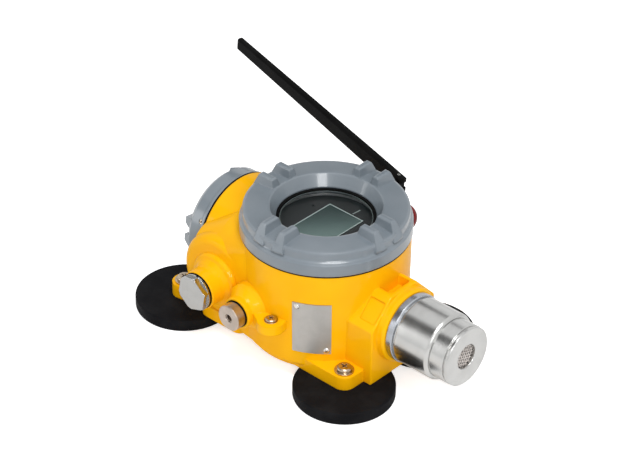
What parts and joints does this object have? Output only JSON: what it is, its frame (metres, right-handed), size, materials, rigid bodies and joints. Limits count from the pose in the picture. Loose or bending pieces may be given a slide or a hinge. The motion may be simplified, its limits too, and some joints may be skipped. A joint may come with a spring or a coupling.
{
  "type": "combustible gas detector",
  "caption": "Flameproof gas detector with round display cover, side sensor, alarm lamp, folding antenna and magnetic feet.",
  "frame": {"origin": "centre of the four magnetic feet, on the surface they hold to", "axes": "+Z out of the display, +Y towards the rear wiring cover and away from the sensor, +X towards the lamp and antenna"},
  "size_m": [0.2028, 0.3211, 0.1076],
  "materials": {
    "yellow_paint": "smooth gloss enamel on a die casting",
    "grey_paint": "satin grey powder coat",
    "foot_rubber": "matte moulded rubber over a magnet",
    "zinc_steel": "bright zinc plate",
    "seal_rubber": "matte black elastomer",
    "window_glass": "thick clear tempered glass",
    "ring_aluminium": "anodised, fine turning marks",
    "faceplate_film": "printed dark film, satin",
    "screen_glass": "greenish grey unlit display",
    "black_plastic": "moulded, light grain",
    "board_green": "solder-masked laminate",
    "cell_wrap": "shrink sleeve",
    "plug_nickel": "nickel plate, machined",
    "lamp_steel": "turned stainless steel",
    "lamp_red": "clear red moulding",
    "jack_brass": "gold-flashed brass",
    "sensor_steel": "bright turned stainless steel",
    "sintered_metal": "sintered metal disc, open grain",
    "nameplate_steel": "satin plate, bare"
  },
  "bodies": {
    "housing": {"housing": "yellow_paint", "magnet_foot_front_left": "foot_rubber", "magnet_foot_front_right": "foot_rubber", "magnet_foot_rear_left": "foot_rubber", "magnet_foot_rear_right": "foot_rubber", "foot_bushes": "zinc_steel", "foot_washers": "zinc_steel", "foot_screws": "zinc_steel", "cover_gasket": "seal_rubber", "faceplate": "faceplate_film", "screen": "screen_glass", "screen_frame": "black_plastic", "upper_board": "board_green", "lower_board": "board_green", "lower_pillars": "zinc_steel", "middle_pillars": "zinc_steel", "upper_pillars": "zinc_steel", "face_screws": "zinc_steel", "battery_cell": "cell_wrap", "cell_cradle": "black_plastic", "rear_gasket": "seal_rubber", "terminal_block": "black_plastic", "terminal_screws": "zinc_steel", "hex_plug_seal": "seal_rubber", "hex_plug": "plug_nickel", "round_plug_seal": "seal_rubber", "round_plug": "plug_nickel", "lamp_seal": "seal_rubber", "lamp_base": "lamp_steel", "lamp_lens": "lamp_red", "lamp_board": "board_green", "antenna_jack": "jack_brass", "antenna_nut": "jack_brass", "sensor_lock_ring": "ring_aluminium", "sensor_barrel": "sensor_steel", "sensor_cap": "sensor_steel", "flame_arrestor": "sintered_metal", "element_holder": "black_plastic", "sensing_element": "sensor_steel", "nameplate": "nameplate_steel", "plate_rivets": "zinc_steel", "earth_screw": "zinc_steel"},
    "display_cover": {"display_cover": "grey_paint", "cover_set_screw": "zinc_steel", "window_seal": "seal_rubber", "window_glass": "window_glass", "glass_ring": "ring_aluminium"},
    "rear_cover": {"rear_cover": "grey_paint", "rear_set_screw": "zinc_steel"},
    "antenna_elbow": {"antenna_elbow": "black_plastic", "elbow_pin": "zinc_steel"},
    "antenna_blade": {"antenna_blade": "black_plastic"}
  },
  "joints": [
    {"name": "display_cover_lift", "type": "slide", "parent": "housing", "child": "display_cover", "axis": [0, 0, 1], "range_m": [0, 0.03]},
    {"name": "rear_cover_pull", "type": "slide", "parent": "housing", "child": "rear_cover", "axis": [0, 1, 0], "range_m": [0, 0.03]},
    {"name": "antenna_swivel", "type": "hinge", "parent": "housing", "child": "antenna_elbow", "pos_m": [0.084, -0.007, 0.073], "axis": [1, 0, 0], "range_deg": [-18, 190]},
    {"name": "antenna_tilt", "type": "hinge", "parent": "antenna_elbow", "child": "antenna_blade", "pos_m": [0.084, -0.007, 0.073], "axis": [0, -0.0663, 0.9978], "range_deg": [-77.1, 12.9]}
  ]
}
